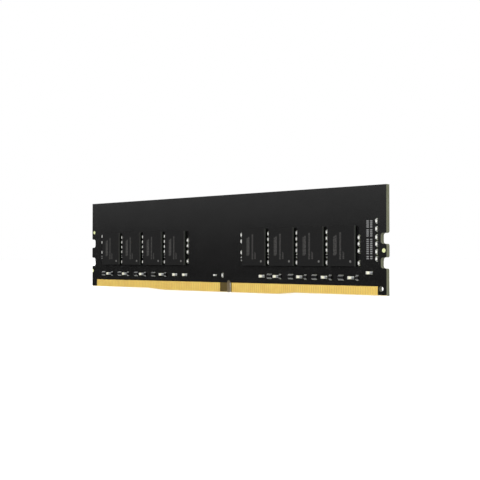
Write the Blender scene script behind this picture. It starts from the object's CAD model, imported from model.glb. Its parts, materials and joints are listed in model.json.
import json
import math
import random

import bmesh
import bpy
from mathutils import Matrix, Vector


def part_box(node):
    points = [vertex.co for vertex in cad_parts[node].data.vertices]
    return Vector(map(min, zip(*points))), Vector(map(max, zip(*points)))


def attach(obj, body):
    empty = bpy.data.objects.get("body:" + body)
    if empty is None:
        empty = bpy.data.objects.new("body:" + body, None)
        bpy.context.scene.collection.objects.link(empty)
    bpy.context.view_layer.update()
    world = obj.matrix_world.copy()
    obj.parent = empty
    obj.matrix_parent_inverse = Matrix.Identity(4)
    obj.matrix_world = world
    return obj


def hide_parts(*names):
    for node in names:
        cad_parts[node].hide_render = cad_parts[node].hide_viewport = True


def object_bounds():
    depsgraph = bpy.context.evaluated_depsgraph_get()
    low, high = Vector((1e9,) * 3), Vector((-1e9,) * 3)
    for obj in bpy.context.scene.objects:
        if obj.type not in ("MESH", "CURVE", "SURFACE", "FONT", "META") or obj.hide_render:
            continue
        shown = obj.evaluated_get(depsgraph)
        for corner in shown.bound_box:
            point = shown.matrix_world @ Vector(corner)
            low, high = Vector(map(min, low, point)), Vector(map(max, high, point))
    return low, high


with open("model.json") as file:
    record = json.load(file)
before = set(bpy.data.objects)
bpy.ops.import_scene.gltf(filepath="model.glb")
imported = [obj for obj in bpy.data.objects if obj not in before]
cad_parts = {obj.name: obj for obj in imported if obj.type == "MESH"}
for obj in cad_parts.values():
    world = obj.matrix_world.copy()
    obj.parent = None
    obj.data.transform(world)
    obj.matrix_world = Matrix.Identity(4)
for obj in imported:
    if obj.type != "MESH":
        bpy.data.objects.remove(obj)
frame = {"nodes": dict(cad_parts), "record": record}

# The looks of a desktop memory module. Lengths are metres in the row frame: X runs along the card, Z points
# up out of the socket, and the memory chips face -Y. Places and sizes of the parts are read from the CAD
# nodes; the values below are those that only the looks need.

MM = 0.001
MICRON = 0.000001
SAME_POINT = 0.1 * MICRON  # corners this near each other are one corner
CAD_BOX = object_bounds()
FRONT = -1  # the face that the chips are on looks along -Y
BACK = 1
ROOT = "root"

# ---- Camera and stage --------------------------------------------------------------------------------
CAMERA_PLACE = Vector((214.0, -209.5, 10.74)) * MM
CAMERA_HEADING = math.radians(44.25)  # from +Y towards -X
CAMERA_RISE = math.radians(1.163)
CAMERA_LENS = 69.05
SENSOR_WIDTH = 36.0
NEAREST_SEEN = 0.01
FARTHEST_SEEN = 20.0
FLOOR_SIZE = 6.0
FLOOR_GAP = 0.02 * MM
FLOOR_GRAIN = 20 * MM
LAMP_PLACE = (0.6, -0.6, 0.4)
LAMP_SIZE = 0.5
LAMP_POWER = 3.0  # watts
# Brightness of the studio round the object at each height above eye level, in degrees.
SURROUND = ((-90, 1.6), (-28, 1.6), (-12, 0.05), (1.5, 0.02), (14.0, 2.1), (40, 1.9), (90, 1.6))

# ---- Surfaces, as sRGB colours -----------------------------------------------------------------------
MASK_BLACK = (6, 6, 6)
MASK_OVER_GAPS = (5, 5, 5)
MOULD_BLACK = (20, 20, 20)
MOULD_FILLER = (43, 42, 41)
MOULD_SAWN = (50, 50, 49)
LASER_GREY = (57, 56, 55)
DIMPLE_GREY = (92, 92, 90)
GOLD = (231, 205, 113)
GOLD_WORN = (225, 193, 104)
CUT_LAMINATE = (92, 93, 74)
CUT_LAMINATE_DARK = (72, 74, 57)
BARE_LAMINATE = (176, 181, 134)
STAINED_LAMINATE = (66, 53, 12)
KEY_WALL = (106, 94, 72)
BETWEEN_CONTACTS = (200, 169, 92)
BEVEL_LAMINATE = (214, 196, 152)
COPPER = (214, 140, 96)
TIN = (212, 212, 209)
TIN_DULL = (180, 180, 177)
CLIP_TIN = (168, 168, 165)
CLIP_TIN_DULL = (136, 136, 134)
SOLDER = (158, 160, 163)
SOLDER_DULL = (118, 120, 124)
CERAMIC = (202, 201, 181)
CERAMIC_DARK = (186, 185, 166)
GREY_CERAMIC = (196, 196, 190)
GREY_CERAMIC_DARK = (182, 182, 176)
OVERCOAT = (16, 16, 17)
INK = (112, 112, 112)
INK_WORN = (82, 82, 82)
SUBSTRATE = (36, 44, 34)
SILICON = (92, 96, 104)
FLOOR_WHITE = (250, 250, 250)
FLOOR_SHADE = (246, 246, 246)

# Sizes of the patterns in the surfaces, and their depths.
MASK_CLOUDS = 9 * MM
MASK_PEEL = 0.55 * MM
MASK_ROUGHNESS = (0.20, 0.25)
MASK_RELIEF = (2.5 * MICRON, 25 * MICRON)  # of the peel and of the clouds
GOLD_BRUSHING = 0.05 * MM
GOLD_WEAR = 2.5 * MM
GOLD_ROUGHNESS = (0.48, 0.62)
GOLD_RELIEF = (0.8 * MICRON, 6 * MICRON)  # of the brushing and of the wear
PLY_PITCH = 0.09 * MM
FIBRE_PITCH = 0.06 * MM
LAMINATE_ROUGHNESS = (0.5, 0.8)
LAMINATE_RELIEF = (8 * MICRON, 6 * MICRON)  # of the fibres and of the plies
FILLER_PITCH = 0.09 * MM
MOULD_SAND = 0.05 * MM
MOULD_ROUGHNESS = (0.52, 0.72)
FILLER_SPECKS = (0.05, 0.22)  # distance from a grain, in pitches, over which its speck fades
FILLER_STRENGTH = 0.55
STAIN_FADE = 1.0 * MM  # height over which the laminate beside the contacts turns pale
KEY_ZONE_FADE = 0.05 * MM
FINE_RELIEF = 2 * MICRON
GRAIN_RELIEF = 3 * MICRON
# A pattern is drawn out along the axes whose number is small.
BRUSHING_STRETCH = (1.0, 1.0, 0.04)
PLY_STRETCH = (0.02, 1.0, 0.02)
FIBRE_STRETCH = (0.6, 1.0, 0.6)
PLATING_FINENESS = 6  # the fine grain of a plating is this much smaller than its patches
ROUGHNESS_SWING = 0.06
# Layers of finer noise within a pattern.
PLAIN_NOISE = 2.0
RICH_NOISE = 4.0
# Where along a noise's 0 to 1 one colour turns into the other.
SOFT_PATCHES = (0.35, 0.65)
BROAD_PATCHES = (0.3, 0.7)
INK_GRAINS = (0.35, 0.6)
# How squarely a surface looks along Y, from 0 to 1, where one look turns into the next.
EDGE_TO_BEVEL = (0.3, 0.6)
BEVEL_TO_FACE = (0.8, 0.95)
SAWN_TO_FACE = (0.4, 0.8)

# ---- Shapes that the CAD keeps plain -----------------------------------------------------------------
CONTACT_ROUNDING = 0.018 * MM
TERMINAL_ROUNDING = 0.055 * MM
BODY_ROUNDING = 0.03 * MM
SOLDER_HOLLOW = 2.1  # how hollow a solder fillet's slope is; 1 is straight
SOLDER_STEPS = 6
SOLDER_NARROWING = 0.25  # share of its width that a fillet loses towards the toe
SOLDER_TOE_ROUNDING = 0.12  # share of its length that the toe's corners fall short
# A solder fillet's cross-section, as shares of its half width and of its height.
SOLDER_PROFILE = ((-1.0, 0.0), (-0.92, 0.55), (-0.6, 0.95), (0.0, 1.0), (0.6, 0.95), (0.92, 0.55), (1.0, 0.0))
BALL_SIDES = 16
BALL_RINGS = 7

# A trace's cross-section and a via's, as (distance from the middle, height above the solder mask).
TRACE_WIDTH = 0.12 * MM
TRACE_PROFILE = (
    (-0.11 * MM, -1 * MICRON),
    (-0.06 * MM, 8 * MICRON),
    (0.06 * MM, 8 * MICRON),
    (0.11 * MM, -1 * MICRON),
)
VIA_PROFILE = (
    (0.29 * MM, -1 * MICRON),
    (0.24 * MM, 7 * MICRON),
    (0.16 * MM, 7 * MICRON),
    (0.07 * MM, 1 * MICRON),
)
VIA_SIDES = 14
VIA_SPACING = 0.60 * MM
CONTACT_VIA_ROWS = (0.62 * MM, 1.24 * MM)  # above the contacts, in turn
LAND_REACH = 0.40 * MM  # how far a contact's trace goes sideways to a land
ROW_MIDDLE = 5.4 * MM  # between the lower and upper lands of the row above the contacts
ROW_TOP = 7.0 * MM
JOG_SHARES = (0.2, 0.8)  # how far along a path its jog may be
SHORTEST_JOG = 10 * MICRON
ROW_JOGS = (-0.4 * MM, -0.2 * MM, 0.0, 0.2 * MM, 0.4 * MM)
COLUMN_VIA_OFFSET = 0.64 * MM  # from the middle of an upright column to the vias beside it
BUS_PITCH = 0.38 * MM
BUS_RAGGED = 2.5 * MM  # how much the ends of a bus may be uneven
BUS_CORNER = math.tan(math.radians(22.5))  # keeps the traces of a bus evenly spaced round a 45-degree jog
# Each bus: left end, right end, height of its lowest trace, number of traces, and its jogs (place, shift).
BACK_BUSES = (
    (-58.0 * MM, -3.5 * MM, 21.6 * MM, 9, ((-40.0 * MM, 1.2 * MM), (-19.0 * MM, -1.8 * MM))),
    (4.0 * MM, 58.0 * MM, 21.2 * MM, 9, ((17.0 * MM, 1.6 * MM), (44.0 * MM, -1.2 * MM))),
    (-24.0 * MM, 20.0 * MM, 25.9 * MM, 5, ((-6.0 * MM, 0.9 * MM), (9.0 * MM, -0.9 * MM))),
)
# Vias behind a chip: their pitch, their places in pitches from its middle, and the share that is there.
FANOUT_PITCH = 0.80 * MM
FANOUT_COLUMNS = (-3.5, -2.5, 2.5, 3.5)
FANOUT_ROWS = tuple(row - 5.5 for row in range(12))
FANOUT_SHARE = 0.85
# Scattered vias through both faces.
STITCHING_TRIES = 160
STITCHING_HEIGHTS = (5.0 * MM, 20.0 * MM)
RELIEF_SEED = 4
# Vias keep clear of the key slot, the end notches and the round hole, each with its rim, as left, bottom,
# right, top.
CUT_OUTS = (
    (4.6 * MM, 0.0, 6.6 * MM, 4.2 * MM),
    (-67.0 * MM, 7.8 * MM, -64.5 * MM, 18.2 * MM),
    (64.5 * MM, 7.8 * MM, 67.0 * MM, 18.2 * MM),
    (63.7 * MM, 0.0, 67.0 * MM, 3.5 * MM),
)
CONTACT_NODES = {
    "front": ("contacts_front_1_to_77", "contacts_front_78_to_144"),
    "back": ("contacts_back_145_to_221", "contacts_back_222_to_288"),
}


def linear(colour):
    """An sRGB colour as the linear RGBA that shaders take."""
    channels = [c / 255 for c in colour]
    values = [c / 12.92 if c <= 0.04045 else ((c + 0.055) / 1.055) ** 2.4 for c in channels]
    return (*values, 1.0)


# ---- Materials ---------------------------------------------------------------------------------------
class Recipe:
    """A new node material, with short calls for the nodes that the surfaces below share."""

    def __init__(self, name, roughness=0.5, metallic=0.0, specular=0.5):
        self.material = bpy.data.materials.new(name)
        self.material.use_nodes = True
        self.tree = self.material.node_tree
        self.shader = self.tree.nodes["Principled BSDF"]
        self.shader.inputs["Metallic"].default_value = metallic
        self.shader.inputs["Roughness"].default_value = roughness
        self.shader.inputs["Specular IOR Level"].default_value = specular
        self.place = self.tree.nodes.new("ShaderNodeTexCoord").outputs["Object"]

    def link(self, source, target):
        self.tree.links.new(source, target)
        return target

    def stretched(self, x, y, z):
        """The place, with its axes scaled: a small number draws a pattern out along that axis."""
        node = self.tree.nodes.new("ShaderNodeMapping")
        node.inputs["Scale"].default_value = (x, y, z)
        self.link(self.place, node.inputs["Vector"])
        return node.outputs["Vector"]

    def noise(self, feature, detail=3.0, place=None):
        """Noise from 0 to 1 whose blotches are about feature metres across."""
        node = self.tree.nodes.new("ShaderNodeTexNoise")
        node.inputs["Scale"].default_value = 1 / feature
        node.inputs["Detail"].default_value = detail
        self.link(place or self.place, node.inputs["Vector"])
        return node.outputs["Fac"]

    def cells(self, feature):
        """Distance to the nearest of many scattered points, about feature metres apart."""
        node = self.tree.nodes.new("ShaderNodeTexVoronoi")
        node.inputs["Scale"].default_value = 1 / feature
        self.link(self.place, node.inputs["Vector"])
        return node.outputs["Distance"]

    def axis(self, source, axis):
        node = self.tree.nodes.new("ShaderNodeSeparateXYZ")
        self.link(source, node.inputs["Vector"])
        return node.outputs[axis]

    def normal(self):
        return self.tree.nodes.new("ShaderNodeNewGeometry").outputs["Normal"]

    def distance(self, source, place):
        """How far a number is from place."""
        shift = self.tree.nodes.new("ShaderNodeMath")
        shift.operation = "SUBTRACT"
        shift.inputs[1].default_value = place
        self.link(source, shift.inputs[0])
        size = self.tree.nodes.new("ShaderNodeMath")
        size.operation = "ABSOLUTE"
        self.link(shift.outputs["Value"], size.inputs[0])
        return size.outputs["Value"]

    def spread(self, source, low, high, to_low=0.0, to_high=1.0):
        """Maps low..high onto to_low..to_high, held at both ends."""
        node = self.tree.nodes.new("ShaderNodeMapRange")
        node.inputs["From Min"].default_value = low
        node.inputs["From Max"].default_value = high
        node.inputs["To Min"].default_value = to_low
        node.inputs["To Max"].default_value = to_high
        self.link(source, node.inputs["Value"])
        return node.outputs["Result"]

    def colours(self, share, first, second):
        """The first colour where share is 0, the second where it is 1. Either may be a node's output."""
        node = self.tree.nodes.new("ShaderNodeMix")
        node.data_type = "RGBA"
        self.link(share, node.inputs["Factor"])
        for socket, colour in (("A_Color", first), ("B_Color", second)):
            target = next(s for s in node.inputs if s.identifier == socket)
            if isinstance(colour, tuple):
                target.default_value = linear(colour)
            else:
                self.link(colour, target)
        return next(s for s in node.outputs if s.identifier == "Result_Color")

    def paint(self, colour):
        self.link(colour, self.shader.inputs["Base Color"])

    def rough(self, share, low, high):
        self.link(self.spread(share, 0.0, 1.0, low, high), self.shader.inputs["Roughness"])

    def bumps(self, *layers):
        """Relief from one or more (source, depth in metres) layers."""
        normal = None
        for source, depth in layers:
            node = self.tree.nodes.new("ShaderNodeBump")
            node.inputs["Distance"].default_value = depth
            self.link(source, node.inputs["Height"])
            if normal is not None:
                self.link(normal, node.inputs["Normal"])
            normal = node.outputs["Normal"]
        self.link(normal, self.shader.inputs["Normal"])


def solder_mask():
    """Black semi-gloss lacquer with a faint orange peel, and a little darker in broad clouds."""
    recipe = Recipe("solder_mask")
    clouds = recipe.noise(MASK_CLOUDS, PLAIN_NOISE)
    peel = recipe.noise(MASK_PEEL, PLAIN_NOISE)
    recipe.paint(recipe.colours(clouds, MASK_BLACK, MASK_OVER_GAPS))
    recipe.rough(clouds, *MASK_ROUGHNESS)
    recipe.bumps((peel, MASK_RELIEF[0]), (clouds, MASK_RELIEF[1]))
    return recipe.material


def gold():
    """Hard gold plating: satin, faintly brushed up and down, and a little worn in patches."""
    recipe = Recipe("gold", metallic=1.0)
    brushed = recipe.noise(GOLD_BRUSHING, place=recipe.stretched(*BRUSHING_STRETCH))
    blotches = recipe.noise(GOLD_WEAR)
    recipe.paint(recipe.colours(recipe.spread(blotches, *SOFT_PATCHES), GOLD, GOLD_WORN))
    recipe.rough(brushed, *GOLD_ROUGHNESS)
    recipe.bumps((brushed, GOLD_RELIEF[0]), (blotches, GOLD_RELIEF[1]))
    return recipe.material


def laminate():
    """Glass-epoxy: plies show on the cut edges, the weave on bare faces, and the contact zone is stained."""
    recipe = Recipe("laminate", roughness=0.6, specular=0.25)
    plies = recipe.noise(PLY_PITCH, PLAIN_NOISE, recipe.stretched(*PLY_STRETCH))
    fibres = recipe.noise(FIBRE_PITCH, PLAIN_NOISE, recipe.stretched(*FIBRE_STRETCH))
    height = recipe.axis(recipe.place, "Z")
    face = recipe.distance(recipe.axis(recipe.normal(), "Y"), 0.0)
    contact_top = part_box("contacts_front_1_to_77")[1].z
    above = recipe.spread(height, contact_top, contact_top + STAIN_FADE)
    key_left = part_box("contacts_front_1_to_77")[1].x
    key_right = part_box("contacts_front_78_to_144")[0].x
    from_key = recipe.distance(recipe.axis(recipe.place, "X"), (key_left + key_right) / 2)
    reach = (key_right - key_left) / 2
    beside_key = recipe.spread(from_key, reach - KEY_ZONE_FADE, reach)
    low = recipe.colours(beside_key, STAINED_LAMINATE, BETWEEN_CONTACTS)
    bare = recipe.colours(above, low, BARE_LAMINATE)
    routed = recipe.colours(recipe.spread(plies, *SOFT_PATCHES), CUT_LAMINATE, CUT_LAMINATE_DARK)
    cut = recipe.colours(above, recipe.colours(beside_key, KEY_WALL, routed), routed)
    edge_or_bevel = recipe.colours(recipe.spread(face, *EDGE_TO_BEVEL), cut, BEVEL_LAMINATE)
    recipe.paint(recipe.colours(recipe.spread(face, *BEVEL_TO_FACE), edge_or_bevel, bare))
    recipe.rough(fibres, *LAMINATE_ROUGHNESS)
    recipe.bumps((fibres, LAMINATE_RELIEF[0]), (plies, LAMINATE_RELIEF[1]))
    return recipe.material


def chip_mould():
    """Matte epoxy moulding compound with fine pale specks of silica filler, which the sawn sides lay open."""
    recipe = Recipe("chip_mould", specular=0.05)
    grains = recipe.cells(FILLER_PITCH)
    sand = recipe.noise(MOULD_SAND, PLAIN_NOISE)
    specks = recipe.spread(grains, *FILLER_SPECKS, FILLER_STRENGTH, 0.0)
    front = recipe.spread(recipe.distance(recipe.axis(recipe.normal(), "Y"), 0.0), *SAWN_TO_FACE)
    face = recipe.colours(specks, MOULD_BLACK, MOULD_FILLER)
    recipe.paint(recipe.colours(front, MOULD_SAWN, face))
    recipe.rough(sand, *MOULD_ROUGHNESS)
    recipe.bumps((sand, GRAIN_RELIEF))
    return recipe.material


def printed(name, pale, dark, feature, roughness):
    """Ink or a laser mark: fine grains of a pale colour over a darker one."""
    recipe = Recipe(name, roughness=roughness, specular=0.2)
    grains = recipe.noise(feature, PLAIN_NOISE)
    recipe.paint(recipe.colours(recipe.spread(grains, *INK_GRAINS), dark, pale))
    recipe.bumps((grains, GRAIN_RELIEF))
    return recipe.material


def plated(name, bright, dull, smoothest, roughest, feature):
    """A soft grey metal, such as tin plating or solder, that is duller in patches."""
    recipe = Recipe(name, metallic=1.0)
    patches = recipe.noise(feature, RICH_NOISE)
    fine = recipe.noise(feature / PLATING_FINENESS, PLAIN_NOISE)
    recipe.paint(recipe.colours(recipe.spread(patches, *BROAD_PATCHES), bright, dull))
    recipe.rough(patches, smoothest, roughest)
    recipe.bumps((fine, FINE_RELIEF))
    return recipe.material


def mottled(name, first, second, feature, roughness, specular=0.5, metallic=0.0):
    """A plain material that varies a little from place to place."""
    recipe = Recipe(name, specular=specular, metallic=metallic)
    blotches = recipe.noise(feature)
    recipe.paint(recipe.colours(recipe.spread(blotches, *SOFT_PATCHES), first, second))
    recipe.rough(blotches, roughness - ROUGHNESS_SWING, roughness + ROUGHNESS_SWING)
    recipe.bumps((blotches, FINE_RELIEF))
    return recipe.material


def make_materials():
    return {
        "laminate": laminate(),
        "copper": mottled("copper", COPPER, COPPER, 0.5 * MM, 0.35, metallic=1.0),
        "solder_mask": solder_mask(),
        "gold": gold(),
        "tinned_copper": plated("tinned_copper", TIN, TIN_DULL, 0.30, 0.50, 0.3 * MM),
        "solder": plated("solder", SOLDER, SOLDER_DULL, 0.22, 0.42, 0.25 * MM),
        "legend_ink": printed("legend_ink", INK, INK_WORN, 0.12 * MM, 0.6),
        "capacitor_ceramic": mottled("capacitor_ceramic", CERAMIC, CERAMIC_DARK, 0.4 * MM, 0.45),
        "grey_ceramic": mottled("grey_ceramic", GREY_CERAMIC, GREY_CERAMIC_DARK, 0.4 * MM, 0.45),
        "tin_plating": plated("tin_plating", TIN, TIN_DULL, 0.35, 0.55, 0.2 * MM),
        "clip_tin": plated("clip_tin", CLIP_TIN, CLIP_TIN_DULL, 0.40, 0.60, 0.2 * MM),
        "resistor_overcoat": mottled("resistor_overcoat", OVERCOAT, OVERCOAT, 0.2 * MM, 0.35, specular=0.1),
        "chip_mould": chip_mould(),
        "chip_substrate": mottled("chip_substrate", SUBSTRATE, SUBSTRATE, 0.3 * MM, 0.45),
        "silicon": mottled("silicon", SILICON, SILICON, 1.0 * MM, 0.2, metallic=1.0),
        "laser_mark": printed("laser_mark", LASER_GREY, MOULD_FILLER, 0.10 * MM, 0.75),
        "pin_one_dot": printed("pin_one_dot", DIMPLE_GREY, LASER_GREY, 0.10 * MM, 0.7),
    }


def finish_cad_nodes(materials):
    """Every CAD node gets the detailed material of its own slot."""
    slots = {part["node"]: part["material_slot"] for part in frame["record"]["subparts"]}
    for name, node in frame["nodes"].items():
        for place in node.material_slots:
            place.material = materials[slots[name]]


# ---- Reading solids, making meshes -------------------------------------------------------------------
def solids_of(node):
    """The corner points of each separate solid of a CAD node."""
    bm = bmesh.new()
    bm.from_mesh(frame["nodes"][node].data)
    bmesh.ops.remove_doubles(bm, verts=bm.verts, dist=SAME_POINT)
    unseen = set(bm.verts)
    solids = []
    while unseen:
        waiting = [unseen.pop()]
        points = []
        while waiting:
            vertex = waiting.pop()
            points.append(vertex.co.copy())
            for edge in vertex.link_edges:
                other = edge.other_vert(vertex)
                if other in unseen:
                    unseen.remove(other)
                    waiting.append(other)
        solids.append(points)
    bm.free()
    return sorted(solids, key=lambda s: tuple(box_of(s)[0]))


def box_of(points):
    low = Vector([min(p[axis] for p in points) for axis in range(3)])
    high = Vector([max(p[axis] for p in points) for axis in range(3)])
    return low, high


def tube_faces(rings, count):
    """The faces of rings of count points, joined one after another and closed at both ends."""
    last = (rings - 1) * count
    faces = [tuple(range(count)), tuple(range(last, last + count))]
    for start in range(0, last, count):
        for i in range(count):
            a = start + i
            b = start + (i + 1) % count
            faces.append((a, b, b + count, a + count))
    return faces


class Mesh:
    """Points and faces that become one piece."""

    def __init__(self):
        self.points = []
        self.faces = []

    def add(self, points, faces):
        start = len(self.points)
        self.points.extend(points)
        self.faces.extend([tuple(start + i for i in face) for face in faces])

    def piece(self, name, material, slot, smooth=False, even_normals=False):
        data = bpy.data.meshes.new(name)
        data.from_pydata([tuple(p) for p in self.points], [], self.faces)
        data.validate()
        bm = bmesh.new()
        bm.from_mesh(data)
        bmesh.ops.recalc_face_normals(bm, faces=bm.faces)
        bm.to_mesh(data)
        bm.free()
        data.polygons.foreach_set("use_smooth", [smooth] * len(data.polygons))
        data.materials.append(material)
        made = bpy.data.objects.new(name, data)
        bpy.context.scene.collection.objects.link(made)
        if even_normals:
            made.modifiers.new("even_normals", "WEIGHTED_NORMAL")
        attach(made, ROOT)
        return made


rounded_blocks = {}


def rounded_block(mesh, low, high, radius):
    """A box with rounded edges and corners."""
    size = high - low
    key = (*(round(s / MICRON) for s in size), radius)
    if key not in rounded_blocks:
        bm = bmesh.new()
        bmesh.ops.create_cube(bm, size=1.0, matrix=Matrix.Diagonal((*size, 1.0)))
        bmesh.ops.bevel(
            bm, geom=bm.edges[:], offset=radius, segments=2, profile=0.5, affect="EDGES", clamp_overlap=True
        )
        bm.verts.index_update()
        points = [v.co.copy() for v in bm.verts]
        rounded_blocks[key] = (points, [[v.index for v in f.verts] for f in bm.faces])
        bm.free()
    points, faces = rounded_blocks[key]
    centre = (low + high) / 2
    mesh.add([centre + p for p in points], faces)


def round_blocks(node, name, materials, radius):
    """A piece that stands for a CAD node of plain blocks, with the same blocks rounded."""
    slot = next(p["material_slot"] for p in frame["record"]["subparts"] if p["node"] == node)
    mesh = Mesh()
    for solid in solids_of(node):
        rounded_block(mesh, *box_of(solid), radius)
    made = mesh.piece(name, materials[slot], slot, smooth=True, even_normals=True)
    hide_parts(node)
    return made


# ---- Solder ------------------------------------------------------------------------------------------
def solder_fillet(mesh, solid):
    """Solder that climbs a terminal in a hollow curve and rounds off at its sides and its toe."""
    low, high = box_of(solid)
    side = FRONT if low.y + high.y < 0 else BACK
    foot = high.y if side == FRONT else low.y
    rise = high.y - low.y
    top = [p for p in solid if abs(p.y - foot) > rise / 2]
    lean = (low + high) / 2 - sum(top, Vector()) / len(top)
    run_axis = 0 if abs(lean.x) > abs(lean.z) else 2
    across_axis = 2 - run_axis
    heading = math.copysign(1.0, lean[run_axis])
    start = low[run_axis] if heading > 0 else high[run_axis]
    run = high[run_axis] - low[run_axis]
    middle = (low[across_axis] + high[across_axis]) / 2
    half = (high[across_axis] - low[across_axis]) / 2
    points = []
    for step in range(SOLDER_STEPS + 1):
        share = step / SOLDER_STEPS
        height = rise * (1 - share) ** SOLDER_HOLLOW
        narrowing = 1 - SOLDER_NARROWING * share**3
        for across, up in SOLDER_PROFILE:
            point = Vector()
            toe = 1 - SOLDER_TOE_ROUNDING * abs(across) ** 3
            point[run_axis] = start + heading * run * share * toe
            point[across_axis] = middle + half * across * narrowing
            point.y = foot + side * height * up
            points.append(point)
    mesh.add(points, tube_faces(SOLDER_STEPS + 1, len(SOLDER_PROFILE)))


def build_solder(materials):
    mesh = Mesh()
    for solid in solids_of("solder_joints"):
        solder_fillet(mesh, solid)
    made = mesh.piece("solder_fillets", materials["solder"], "solder", smooth=True)
    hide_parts("solder_joints")


def ball(mesh, low, high):
    """A reflowed ball, flattened where it meets the board and the package."""
    centre = (low + high) / 2
    radius = (high.x - low.x) / 2
    half = (high.y - low.y) / 2
    reach = math.asin(half / radius)
    points = []
    for ring in range(BALL_RINGS):
        tilt = reach * (2 * ring / (BALL_RINGS - 1) - 1)
        for side in range(BALL_SIDES):
            turn = 2 * math.pi * side / BALL_SIDES
            out = radius * math.cos(tilt)
            offset = Vector((out * math.cos(turn), radius * math.sin(tilt), out * math.sin(turn)))
            points.append(centre + offset)
    mesh.add(points, tube_faces(BALL_RINGS, BALL_SIDES))


def build_balls(chips, materials):
    """The balls of the first chip are read from the CAD, and every other chip has the same ones."""
    first = f"{chips[0]}_solder_balls"
    boxes = [box_of(solid) for solid in solids_of(first)]
    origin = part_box(first)[0]
    for chip in chips:
        node = f"{chip}_solder_balls"
        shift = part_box(node)[0] - origin
        mesh = Mesh()
        for low, high in boxes:
            ball(mesh, low + shift, high + shift)
        made = mesh.piece(f"{chip}_reflowed_balls", materials["solder"], "solder", smooth=True)
        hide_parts(node)


# ---- Marks on the chips ------------------------------------------------------------------------------
# Columns of plain strokes, standing where a real chip has its printed lines. Each is (distance of its middle
# from the chip's left side, width, lowest end, highest end, shortest stroke, longest stroke), as shares of
# the chip's length and width.
LASER_COLUMNS = (
    (0.232, 0.026, 0.27, 0.77, 0.030, 0.110),
    (0.266, 0.026, 0.27, 0.75, 0.020, 0.060),
    (0.300, 0.026, 0.27, 0.77, 0.030, 0.130),
    (0.334, 0.026, 0.30, 0.77, 0.030, 0.100),
    (0.466, 0.026, 0.17, 0.84, 0.020, 0.060),
    (0.502, 0.026, 0.17, 0.84, 0.020, 0.060),
    (0.588, 0.025, 0.18, 0.36, 0.020, 0.060),
    (0.620, 0.025, 0.18, 0.36, 0.020, 0.060),
)
LASER_GAP = (0.008, 0.016)
LASER_SEED = 11
LASER_RELIEF = 0.004 * MM
DOT_RELIEF = 0.004 * MM
DOT_SIDES = 24
DOT_FILL = 0.92  # share of the dimple's radius
DIMPLE_DEPTHS = (20 * MICRON, 100 * MICRON)  # only the dimple has points this far below the chip's face


def flat_block(mesh, left, right, bottom, top, face, relief):
    """A thin raised patch on a surface that looks along -Y."""
    points = [Vector((x, y, z)) for x in (left, right) for y in (face - relief, face) for z in (bottom, top)]
    faces = ((0, 1, 3, 2), (4, 6, 7, 5), (0, 4, 5, 1), (2, 3, 7, 6), (0, 2, 6, 4), (1, 5, 7, 3))
    mesh.add(points, faces)


def build_chip_marks(chips, materials):
    """Plain strokes in columns on each chip, the same on all of them, with no lettering."""
    for chip in chips:
        low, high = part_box(f"{chip}_mould")
        length = high.x - low.x
        width = high.z - low.z
        chance = random.Random(LASER_SEED)
        mesh = Mesh()
        for middle, band, bottom, top, shortest, longest in LASER_COLUMNS:
            left = low.x + (middle - band / 2) * length
            right = left + band * length
            start = bottom
            while start + shortest < top:
                end = min(top, start + chance.uniform(shortest, longest))
                flat_block(mesh, left, right, low.z + start * width, low.z + end * width, low.y, LASER_RELIEF)
                start = end + chance.uniform(*LASER_GAP)
        mesh.piece(f"{chip}_laser_marks", materials["laser_mark"], "chip_mould")


def build_pin_dots(chips, materials):
    """The floor of each chip's round dimple is paler than the moulding."""
    mesh = Mesh()
    for chip in chips:
        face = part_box(f"{chip}_mould")[0].y
        rim = [
            v.co.copy()
            for v in frame["nodes"][f"{chip}_mould"].data.vertices
            if DIMPLE_DEPTHS[0] < v.co.y - face < DIMPLE_DEPTHS[1]
        ]
        low, high = box_of(rim)
        centre = (low + high) / 2
        radius = (high.x - low.x) / 2 * DOT_FILL
        floor = high.y - DOT_RELIEF
        points = []
        for side in range(DOT_SIDES):
            turn = 2 * math.pi * side / DOT_SIDES
            across = radius * math.cos(turn)
            points.append(Vector((centre.x + across, floor, centre.z + radius * math.sin(turn))))
        points += [p + Vector((0, DOT_RELIEF, 0)) for p in points]
        mesh.add(points, tube_faces(2, DOT_SIDES))
    mesh.piece("pin_one_dots", materials["pin_one_dot"], "chip_mould")


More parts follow.
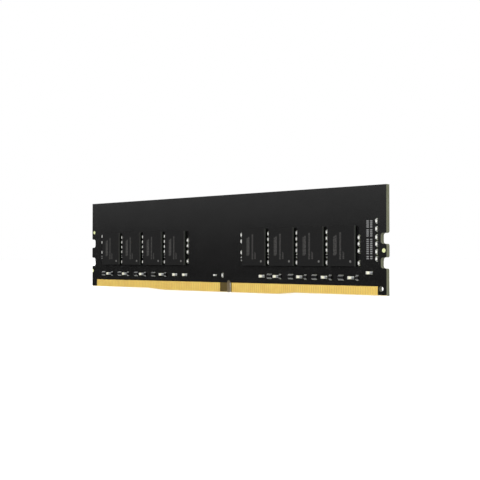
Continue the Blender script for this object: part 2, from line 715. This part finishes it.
# ---- Traces and vias under the solder mask -----------------------------------------------------------
class Face:
    """One face of the card: the low relief of its copper, and the places that something else takes."""

    def __init__(self, name, side, taken_nodes):
        self.name = name
        self.side = side
        low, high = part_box(f"solder_mask_{name}")
        self.level = low.y if side == FRONT else high.y
        self.left = low.x
        self.right = high.x
        self.mesh = Mesh()
        self.vias = []
        self.taken = list(CUT_OUTS)
        for node in taken_nodes:
            boxes = [box_of(solid) for solid in solids_of(node)]
            self.taken += [(a.x, a.z, b.x, b.z) for a, b in boxes if (a.y + b.y) * side > 0]

    def clear(self, x, z, reach):
        """Whether a circle is clear of the card's ends and of everything that stands on this face."""
        inside = self.left + reach < x < self.right - reach
        return inside and not any(
            left - reach < x < right + reach and bottom - reach < z < top + reach
            for left, bottom, right, top in self.taken
        )

    def trace(self, *path):
        """The low ridge that a copper trace makes in the solder mask, along a path of (x, z) points."""
        points = []
        for i, here in enumerate(path):
            before = path[max(i - 1, 0)]
            after = path[min(i + 1, len(path) - 1)]
            into = Vector((here[0] - before[0], here[1] - before[1]))
            out = Vector((after[0] - here[0], after[1] - here[1]))
            into = into.normalized() if into.length > 0 else out.normalized()
            out = out.normalized() if out.length > 0 else into
            along = (into + out).normalized()
            across = Vector((-along.y, along.x)) / along.dot(out)
            for offset, height in TRACE_PROFILE:
                x = here[0] + across.x * offset
                z = here[1] + across.y * offset
                points.append(Vector((x, self.level + self.side * height, z)))
        self.mesh.add(points, tube_faces(len(path), len(TRACE_PROFILE)))

    def via(self, x, z):
        """A via under the mask: a flat ring with a dimple. False where there is no room for it."""
        crowded = any(math.hypot(x - a, z - b) < VIA_SPACING for a, b in self.vias)
        if crowded or not self.clear(x, z, VIA_PROFILE[0][0]):
            return False
        points = []
        for radius, height in VIA_PROFILE:
            for i in range(VIA_SIDES):
                turn = 2 * math.pi * i / VIA_SIDES
                around = Vector((radius * math.cos(turn), self.side * height, radius * math.sin(turn)))
                points.append(Vector((x, self.level, z)) + around)
        self.mesh.add(points, tube_faces(len(VIA_PROFILE), VIA_SIDES))
        self.vias.append((x, z))
        return True


def jogged(start, end, share):
    """A path up the card that moves sideways in one 45-degree jog, part of the way along."""
    sideways = abs(end[0] - start[0])
    if sideways < SHORTEST_JOG:
        return start, end
    bend = start[1] + (end[1] - start[1] - sideways) * share
    return start, (start[0], bend), (end[0], bend + sideways), end


def stub_out_contacts(face, contact_nodes, lands, chance):
    """Each contact's trace goes to a land just above it, or else to a via."""
    free = [(a, b) for a, b in lands if b.z < ROW_MIDDLE]
    for node in contact_nodes:
        for number, solid in enumerate(solids_of(node)):
            low, high = box_of(solid)
            x = (low.x + high.x) / 2
            start = (x, high.z - TRACE_WIDTH)
            near = [land for land in free if abs((land[0].x + land[1].x) / 2 - x) < LAND_REACH]
            if near:
                land = near[0]
                free.remove(land)
                end = ((land[0].x + land[1].x) / 2, land[0].z)
                face.trace(*jogged(start, end, chance.uniform(*JOG_SHARES)))
                continue
            top = high.z + CONTACT_VIA_ROWS[number % len(CONTACT_VIA_ROWS)]
            if face.via(x, top):
                face.trace(start, (x, top))


def fan_out_row(face, lands, chips, chance):
    """From the upper lands of the row above the contacts, traces run up under the chips or to vias."""
    moulds = [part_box(f"{chip}_mould") for chip in chips]
    for low, high in lands:
        if not ROW_MIDDLE < low.z < ROW_TOP:
            continue
        x = (low.x + high.x) / 2
        above = [chip for chip in moulds if chip[0].x < x < chip[1].x]
        if above:
            end = (x + chance.choice(ROW_JOGS), above[0][0].z + TRACE_WIDTH)
            face.trace(*jogged((x, high.z), end, chance.uniform(*JOG_SHARES)))
            continue
        top = high.z + chance.choice(CONTACT_VIA_ROWS)
        if face.via(x, top):
            face.trace((x, high.z), (x, top))


def drop_from_columns(face, lands, chance):
    """A short stub and a via beside each land of the upright columns."""
    for low, high in lands:
        if low.z < ROW_TOP:
            continue
        x = (low.x + high.x) / 2
        z = (low.z + high.z) / 2
        aside = chance.choice((-COLUMN_VIA_OFFSET, COLUMN_VIA_OFFSET))
        if face.via(x + aside, z):
            face.trace((x, z), (x + aside, z))


def run_bus(face, left, right, bottom, lines, jogs, chance):
    """Traces side by side along the card, which shift up or down together and end at vias."""
    for line in range(lines):
        offset = line * BUS_PITCH
        start = left + chance.uniform(0, BUS_RAGGED)
        end = right - chance.uniform(0, BUS_RAGGED)
        z = bottom + offset
        path = [(start, z)]
        for place, shift in jogs:
            turn = place - math.copysign(offset * BUS_CORNER, shift)
            path += [(turn, z), (turn + abs(shift), z + shift)]
            z += shift
        path.append((end, z))
        if face.via(*path[0]) and face.via(*path[-1]):
            face.trace(*path)


def fan_out_chips(face, chips, chance):
    """Behind each chip, vias stand between its balls, and many have a short slanting trace."""
    for chip in chips:
        low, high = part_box(f"{chip}_mould")
        centre = (low + high) / 2
        for column in FANOUT_COLUMNS:
            for row in FANOUT_ROWS:
                x = centre.x + column * FANOUT_PITCH
                z = centre.z + row * FANOUT_PITCH
                if chance.random() < FANOUT_SHARE and face.via(x, z):
                    slant = FANOUT_PITCH * chance.choice((-0.5, 0.5))
                    if chance.random() < FANOUT_SHARE:
                        face.trace((x, z), (x + slant, z + abs(slant)))


def build_copper_relief(chips, materials):
    """The traces and vias that show as low relief in the solder mask of both faces."""
    chance = random.Random(RELIEF_SEED)
    front = Face("front", FRONT, ("component_lands", "legend_marks", *[f"{chip}_mould" for chip in chips]))
    back = Face("back", BACK, ("component_lands", "spd_sensor_body"))
    lands = [box_of(solid) for solid in solids_of("component_lands")]
    front_lands = [(a, b) for a, b in lands if a.y < 0]
    stub_out_contacts(front, CONTACT_NODES["front"], front_lands, chance)
    stub_out_contacts(back, CONTACT_NODES["back"], [], chance)
    fan_out_row(front, front_lands, chips, chance)
    drop_from_columns(front, front_lands, chance)
    for bus in BACK_BUSES:
        run_bus(back, *bus, chance)
    fan_out_chips(back, chips, chance)
    for x, z in list(front.vias):
        back.via(x, z)
    for _ in range(STITCHING_TRIES):
        x = chance.uniform(front.left, front.right)
        z = chance.uniform(*STITCHING_HEIGHTS)
        if back.via(x, z):
            front.via(x, z)
    for face in (front, back):
        name = f"copper_relief_{face.name}"
        face.mesh.piece(name, materials["solder_mask"], "solder_mask")


# ---- Camera, light and floor -------------------------------------------------------------------------
def build_camera():
    """The camera, level but for its rise, and turned from straight ahead by its heading."""
    lens = bpy.data.cameras.new("camera")
    lens.lens = CAMERA_LENS
    lens.sensor_width = SENSOR_WIDTH
    lens.clip_start = NEAREST_SEEN
    lens.clip_end = FARTHEST_SEEN
    camera = bpy.data.objects.new("camera", lens)
    bpy.context.scene.collection.objects.link(camera)
    camera.location = CAMERA_PLACE
    camera.rotation_euler = (math.pi / 2 + CAMERA_RISE, 0, CAMERA_HEADING)
    bpy.context.scene.camera = camera


def build_world():
    """A white backdrop, and round the object a pale studio with a dark band at eye level."""
    world = bpy.data.worlds.new("studio")
    world.use_nodes = True
    bpy.context.scene.world = world
    tree = world.node_tree
    nodes = tree.nodes
    background = nodes["Background"]
    background.inputs["Color"].default_value = (1.0, 1.0, 1.0, 1.0)
    direction = nodes.new("ShaderNodeTexCoord").outputs["Generated"]
    split = nodes.new("ShaderNodeSeparateXYZ")
    tree.links.new(direction, split.inputs[0])
    height = nodes.new("ShaderNodeMapRange")
    height.inputs["From Min"].default_value = -1.0
    tree.links.new(split.outputs["Z"], height.inputs["Value"])
    ramp = nodes.new("ShaderNodeValToRGB")
    tree.links.new(height.outputs["Result"], ramp.inputs["Fac"])
    stops = ramp.color_ramp.elements
    brightest = max(level for _, level in SURROUND)
    while len(stops) < len(SURROUND):
        stops.new(0.5)
    for stop, (elevation, level) in zip(stops, SURROUND):
        stop.position = (math.sin(math.radians(elevation)) + 1) / 2
        stop.color = (*[level / brightest] * 3, 1.0)
    scaled = nodes.new("ShaderNodeMath")
    scaled.operation = "MULTIPLY"
    scaled.inputs[1].default_value = brightest
    tree.links.new(ramp.outputs["Color"], scaled.inputs[0])
    seen = nodes.new("ShaderNodeLightPath").outputs["Is Camera Ray"]
    strength = nodes.new("ShaderNodeMix")
    tree.links.new(seen, strength.inputs["Factor"])
    tree.links.new(scaled.outputs["Value"], strength.inputs["A"])
    strength.inputs["B"].default_value = 1.0
    tree.links.new(strength.outputs["Result"], background.inputs["Strength"])


def soft_box(name, place, size, power):
    """A large square lamp that looks at the middle of the object."""
    data = bpy.data.lights.new(name, "AREA")
    data.shape = "SQUARE"
    data.size = size
    data.energy = power
    lamp = bpy.data.objects.new(name, data)
    bpy.context.scene.collection.objects.link(lamp)
    lamp.location = place
    target = (CAD_BOX[0] + CAD_BOX[1]) / 2
    lamp.rotation_euler = (target - Vector(place)).to_track_quat("-Z", "Y").to_euler()


def build_stage():
    """A plain pale floor just under the card."""
    recipe = Recipe("floor", roughness=0.9, specular=0.1)
    grain = recipe.noise(FLOOR_GRAIN, PLAIN_NOISE)
    recipe.paint(recipe.colours(grain, FLOOR_WHITE, FLOOR_SHADE))
    bm = bmesh.new()
    bmesh.ops.create_grid(bm, x_segments=1, y_segments=1, size=FLOOR_SIZE / 2)
    data = bpy.data.meshes.new("floor")
    bm.to_mesh(data)
    bm.free()
    data.materials.append(recipe.material)
    floor = bpy.data.objects.new("floor", data)
    bpy.context.scene.collection.objects.link(floor)
    floor.location.z = CAD_BOX[0].z - FLOOR_GAP
    floor.visible_glossy = False


# ---- The scene ---------------------------------------------------------------------------------------
bpy.context.scene.view_settings.view_transform = "Standard"
materials = make_materials()
chips = sorted(n[: -len("_mould")] for n in frame["nodes"] if n.endswith("_mould"))
build_camera()
build_world()
build_stage()
soft_box("key", LAMP_PLACE, LAMP_SIZE, LAMP_POWER)
finish_cad_nodes(materials)

for nodes in CONTACT_NODES.values():
    for node in nodes:
        round_blocks(node, f"plated_{node}", materials, CONTACT_ROUNDING)
for part in ("capacitor_0402", "capacitor_0603", "zq_resistor"):
    round_blocks(f"{part}_terminals", f"{part}_rounded_terminals", materials, TERMINAL_ROUNDING)
    bodies = round_blocks(f"{part}_bodies", f"{part}_rounded_bodies", materials, BODY_ROUNDING)
    if part == "capacitor_0402":  # a greyer ceramic than the larger capacitors have
        bodies.data.materials[0] = materials["grey_ceramic"]
clips = round_blocks("resistor_array_terminals", "resistor_array_rounded_terminals", materials, BODY_ROUNDING)
clips.data.materials[0] = materials["clip_tin"]
for count in (2, 4):
    round_blocks(f"resistor_array_of_{count}_bodies", f"rounded_arrays_of_{count}", materials, BODY_ROUNDING)
build_solder(materials)
build_balls(chips, materials)
build_chip_marks(chips, materials)
build_pin_dots(chips, materials)
build_copper_relief(chips, materials)
